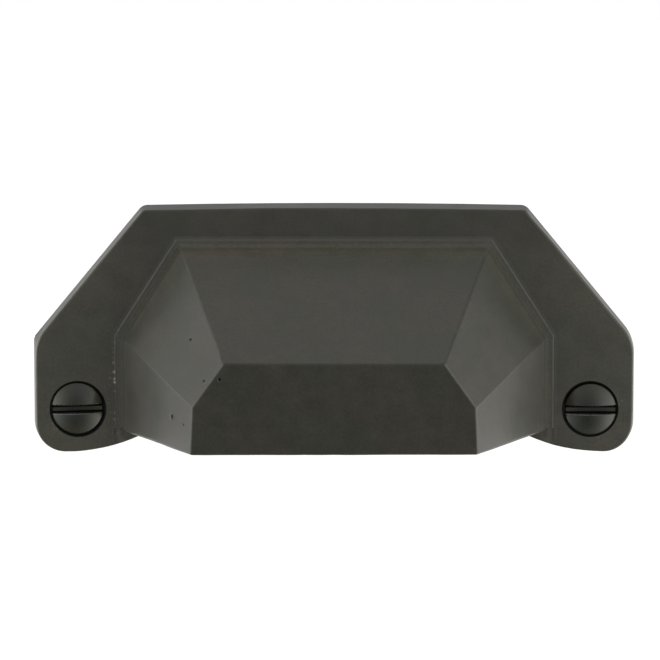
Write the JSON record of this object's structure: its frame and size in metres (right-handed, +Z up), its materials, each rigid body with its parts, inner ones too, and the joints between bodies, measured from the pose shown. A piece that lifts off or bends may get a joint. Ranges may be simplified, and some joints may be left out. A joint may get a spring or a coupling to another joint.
{
  "type": "bin pull",
  "caption": "Faceted cast bin pull with a hollow hood open below, on a flat flanged plate with screw ears, held by slotted oval-head wood screws.",
  "frame": {"origin": "midway between the two screw axes, on the plate's back face", "axes": "+Y along the screws, into the drawer front; -Y out of it towards the hand; +X to the right as seen from the front; +Z up"},
  "size_m": [0.0896, 0.0417, 0.0374],
  "materials": {
    "dark_bronze": "satin dark bronze patina",
    "screw_metal": "smooth blackened brass"
  },
  "bodies": {
    "root": {"pull_body": "dark_bronze", "mounting_screws": "screw_metal"}
  },
  "joints": []
}
